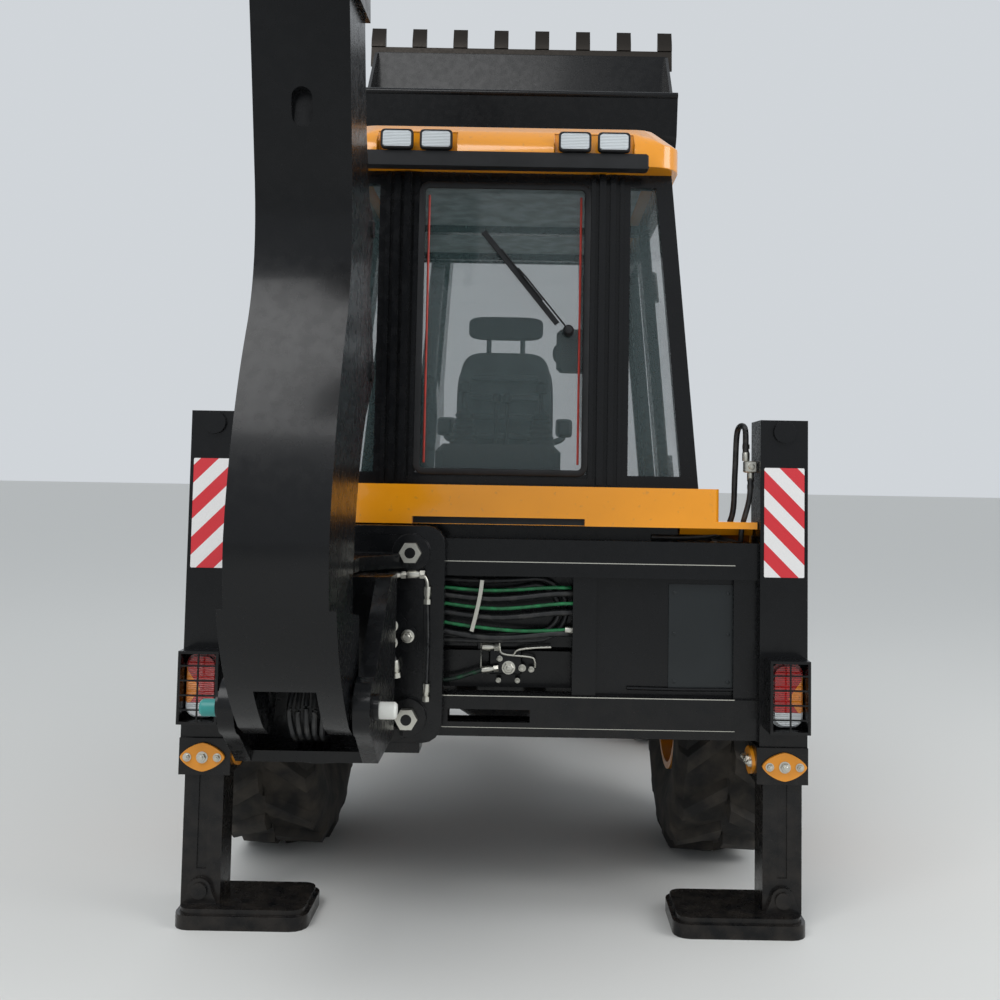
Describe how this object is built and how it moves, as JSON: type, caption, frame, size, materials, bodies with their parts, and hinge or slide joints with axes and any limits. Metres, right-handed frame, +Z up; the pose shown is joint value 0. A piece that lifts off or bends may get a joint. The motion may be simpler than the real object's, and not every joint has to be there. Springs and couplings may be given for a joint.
{
  "type": "backhoe loader",
  "caption": "Sideshift backhoe loader with a raised front bucket, glazed cab, sliding rear digging arm and telescopic stabiliser legs.",
  "frame": {"origin": "on the ground under the middle of the machine's box", "axes": "+X to the machine's right seen from behind, +Y forward towards the loader bucket, +Z up"},
  "size_m": [2.346, 7.0322, 5.0281],
  "materials": {
    "body_yellow": "moulded panels in a glossy yellow-orange",
    "yellow_paint": "glossy yellow-orange enamel on steel",
    "black_paint": "satin black enamel on welded steel",
    "black_plastic": "grained black moulded plastic",
    "tyre": "dusty black tread rubber",
    "glass": "lightly tinted safety glass",
    "seat_fabric": "dark woven seat cloth over foam",
    "rod_chrome": "hard chrome on the piston rods",
    "cast_block": "painted cast engine block",
    "worn_steel": "bare steel worn by digging",
    "lamp_lens": "clear red, amber and white lamp lenses"
  },
  "bodies": {
    "machine": {"chassis": "black_paint", "rear_frame": "black_paint", "axles": "black_paint", "engine": "cast_block", "nose": "black_plastic", "tanks": "black_paint", "exhaust": "black_paint", "cab_frame": "black_paint", "cab_roof": "body_yellow", "cab_glass": "glass", "rear_body": "body_yellow", "seat": "seat_fabric", "console": "black_plastic", "work_lamps": "black_plastic", "tail_lamps": "lamp_lens", "lamp_guards": "black_paint", "hose_loop": "black_plastic"},
    "rear_wheel_left": {"rear_tyre_left": "tyre", "rear_rim_left": "yellow_paint"},
    "rear_wheel_right": {"rear_tyre_right": "tyre", "rear_rim_right": "yellow_paint"},
    "front_wheel_left": {"front_tyre_left": "tyre", "front_rim_left": "yellow_paint"},
    "front_wheel_right": {"front_tyre_right": "tyre", "front_rim_right": "yellow_paint"},
    "knuckle_left": {"knuckle_left": "black_paint"},
    "knuckle_right": {"knuckle_right": "black_paint"},
    "bonnet": {"bonnet": "body_yellow"},
    "door_left": {"door_left": "black_paint", "door_glass_left": "glass"},
    "door_right": {"door_right": "black_paint", "door_glass_right": "glass"},
    "loader_arms": {"loader_arms": "black_paint"},
    "loader_bucket": {"loader_bucket": "black_paint", "bucket_teeth": "worn_steel"},
    "lift_barrels": {"lift_barrels": "black_paint"},
    "lift_rods": {"lift_rods": "rod_chrome"},
    "tilt_barrels": {"tilt_barrels": "black_paint"},
    "tilt_rods": {"tilt_rods": "rod_chrome"},
    "tilt_levers": {"tilt_levers": "black_paint"},
    "tilt_links": {"tilt_links": "black_paint"},
    "carriage": {"carriage": "black_paint"},
    "kingpost": {"kingpost": "black_paint"},
    "boom": {"boom": "black_paint"},
    "boom_barrel": {"boom_barrel": "black_paint"},
    "boom_rod": {"boom_rod": "rod_chrome"},
    "dipper": {"dipper": "black_paint", "hoe_barrel": "black_paint"},
    "dipper_barrel": {"dipper_barrel": "black_paint"},
    "dipper_rod": {"dipper_rod": "rod_chrome"},
    "hoe_bucket": {"hoe_bucket": "worn_steel"},
    "hoe_rod": {"hoe_rod": "rod_chrome"},
    "hoe_lever": {"hoe_lever": "black_paint"},
    "hoe_link": {"hoe_link": "black_paint"},
    "leg_left": {"leg_left": "black_paint"},
    "leg_right": {"leg_right": "black_paint"}
  },
  "joints": [
    {"name": "rear_wheel_left_roll", "type": "hinge", "parent": "machine", "child": "rear_wheel_left", "pos_m": [-0.955, 0.52611, 0.72], "axis": [1, 0, 0], "continuous": true},
    {"name": "rear_wheel_right_roll", "type": "hinge", "parent": "machine", "child": "rear_wheel_right", "pos_m": [0.955, 0.52611, 0.72], "axis": [1, 0, 0], "continuous": true},
    {"name": "steer_left", "type": "hinge", "parent": "machine", "child": "knuckle_left", "pos_m": [-0.715, 2.69611, 0.485], "axis": [0, 0, 1], "range_deg": [-35, 35]},
    {"name": "front_wheel_left_roll", "type": "hinge", "parent": "knuckle_left", "child": "front_wheel_left", "pos_m": [-0.955, 2.69611, 0.485], "axis": [1, 0, 0], "continuous": true},
    {"name": "steer_right", "type": "hinge", "parent": "machine", "child": "knuckle_right", "pos_m": [0.715, 2.69611, 0.485], "axis": [0, 0, 1], "range_deg": [-35, 35]},
    {"name": "front_wheel_right_roll", "type": "hinge", "parent": "knuckle_right", "child": "front_wheel_right", "pos_m": [0.955, 2.69611, 0.485], "axis": [1, 0, 0], "continuous": true},
    {"name": "bonnet_lift", "type": "hinge", "parent": "machine", "child": "bonnet", "pos_m": [0, 3.21611, 1.35], "axis": [-1, 0, 0], "range_deg": [0, 55]},
    {"name": "door_left_swing", "type": "hinge", "parent": "machine", "child": "door_left", "pos_m": [-0.84593, 0.59611, 1.1015], "axis": [0.094, 0, 0.9956], "range_deg": [0, 85]},
    {"name": "door_right_swing", "type": "hinge", "parent": "machine", "child": "door_right", "pos_m": [0.84593, 0.59611, 1.1015], "axis": [0.094, 0, -0.9956], "range_deg": [0, 85]},
    {"name": "loader_lift", "type": "hinge", "parent": "machine", "child": "loader_arms", "pos_m": [0, 1.40611, 1.56], "axis": [1, 0, 0], "range_deg": [-80, 0]},
    {"name": "loader_tilt", "type": "hinge", "parent": "loader_arms", "child": "loader_bucket", "pos_m": [0, 3.08611, 3.8], "axis": [-1, 0, 0], "range_deg": [0, 130]},
    {"name": "lift_barrel_swing", "type": "hinge", "parent": "machine", "child": "lift_barrels", "pos_m": [0, 1.22611, 0.56], "axis": [1, 0, 0], "range_deg": [-27.81, 0]},
    {"name": "lift_rod_slide", "type": "slide", "parent": "lift_barrels", "child": "lift_rods", "axis": [0, 0.4291, 0.9033], "range_m": [-0.70556, 0]},
    {"name": "tilt_barrel_swing", "type": "hinge", "parent": "loader_arms", "child": "tilt_barrels", "pos_m": [0, 1.48611, 2.15], "axis": [-1, 0, 0], "range_deg": [0, 6.36]},
    {"name": "tilt_rod_slide", "type": "slide", "parent": "tilt_barrels", "child": "tilt_rods", "axis": [0, 0.5396, 0.8419], "range_m": [0, 0.4775]},
    {"name": "tilt_lever_swing", "type": "hinge", "parent": "loader_arms", "child": "tilt_levers", "pos_m": [0, 2.69211, 3.408], "axis": [-1, 0, 0], "range_deg": [0, 90.69]},
    {"name": "tilt_link_swing", "type": "hinge", "parent": "loader_bucket", "child": "tilt_links", "pos_m": [0, 2.79896, 3.8452], "axis": [-1, 0, 0], "range_deg": [-115.39, 0]},
    {"name": "carriage_shift", "type": "slide", "parent": "machine", "child": "carriage", "axis": [1, 0, 0], "range_m": [0, 1.14]},
    {"name": "kingpost_swing", "type": "hinge", "parent": "carriage", "child": "kingpost", "pos_m": [-0.57, -0.87389, 1], "axis": [0, 0, 1], "range_deg": [-90, 90]},
    {"name": "boom_lift", "type": "hinge", "parent": "kingpost", "child": "boom", "pos_m": [-0.57, -1.32389, 0.96], "axis": [1, 0, 0], "range_deg": [0, 118]},
    {"name": "boom_barrel_swing", "type": "hinge", "parent": "kingpost", "child": "boom_barrel", "pos_m": [-0.57, -1.03389, 1.12], "axis": [1, 0, 0], "range_deg": [0, 107.59]},
    {"name": "boom_rod_slide", "type": "slide", "parent": "boom_barrel", "child": "boom_rod", "axis": [0, 0.0337, 0.9994], "range_m": [0, 0.5281]},
    {"name": "dipper_crowd", "type": "hinge", "parent": "boom", "child": "dipper", "pos_m": [-0.57, -1.55389, 3.78], "axis": [1, 0, 0], "range_deg": [-60, 50]},
    {"name": "dipper_barrel_swing", "type": "hinge", "parent": "boom", "child": "dipper_barrel", "pos_m": [-0.57, -1.07389, 2.48], "axis": [1, 0, 0], "range_deg": [-9.94, 8.37]},
    {"name": "dipper_rod_slide", "type": "slide", "parent": "dipper_barrel", "child": "dipper_rod", "axis": [0, -0.1003, 0.995], "range_m": [-0.34359, 0.28666]},
    {"name": "hoe_bucket_curl", "type": "hinge", "parent": "dipper", "child": "hoe_bucket", "pos_m": [-0.57, -3.19761, 3.92381], "axis": [1, 0, 0], "range_deg": [-80, 60]},
    {"name": "hoe_rod_slide", "type": "slide", "parent": "dipper", "child": "hoe_rod", "axis": [0, -0.9822, 0.1879], "range_m": [-0.30981, 0.23286]},
    {"name": "hoe_lever_swing", "type": "hinge", "parent": "dipper", "child": "hoe_lever", "pos_m": [-0.57, -2.79739, 3.90887], "axis": [1, 0, 0], "range_deg": [-44.83, 33.74]},
    {"name": "hoe_link_swing", "type": "hinge", "parent": "hoe_bucket", "child": "hoe_link", "pos_m": [-0.57, -3.2649, 4.17495], "axis": [1, 0, 0], "range_deg": [-55.25, 73.5]},
    {"name": "leg_left_lift", "type": "slide", "parent": "machine", "child": "leg_left", "axis": [0, 0, 1], "range_m": [0, 0.36]},
    {"name": "leg_right_lift", "type": "slide", "parent": "machine", "child": "leg_right", "axis": [0, 0, 1], "range_m": [0, 0.36]}
  ],
  "couplings": [
    {"joint": "lift_barrel_swing", "follows": "loader_lift", "ratio": 0.34137},
    {"joint": "lift_rod_slide", "follows": "loader_lift", "m_per_rad": 0.50389},
    {"joint": "tilt_barrel_swing", "follows": "loader_tilt", "ratio": 0.045052},
    {"joint": "tilt_rod_slide", "follows": "loader_tilt", "m_per_rad": 0.20957},
    {"joint": "tilt_lever_swing", "follows": "loader_tilt", "ratio": 0.69381},
    {"joint": "tilt_link_swing", "follows": "loader_tilt", "ratio": -0.88374},
    {"joint": "boom_barrel_swing", "follows": "boom_lift", "ratio": 0.90753},
    {"joint": "boom_rod_slide", "follows": "boom_lift", "m_per_rad": 0.25545},
    {"joint": "dipper_barrel_swing", "follows": "dipper_crowd", "ratio": 0.15739},
    {"joint": "dipper_rod_slide", "follows": "dipper_crowd", "m_per_rad": 0.3262},
    {"joint": "hoe_rod_slide", "follows": "hoe_bucket_curl", "m_per_rad": 0.22045},
    {"joint": "hoe_lever_swing", "follows": "hoe_bucket_curl", "ratio": 0.55408},
    {"joint": "hoe_link_swing", "follows": "hoe_bucket_curl", "ratio": -0.91244},
    {"joint": "steer_right", "follows": "steer_left", "ratio": 1}
  ]
}
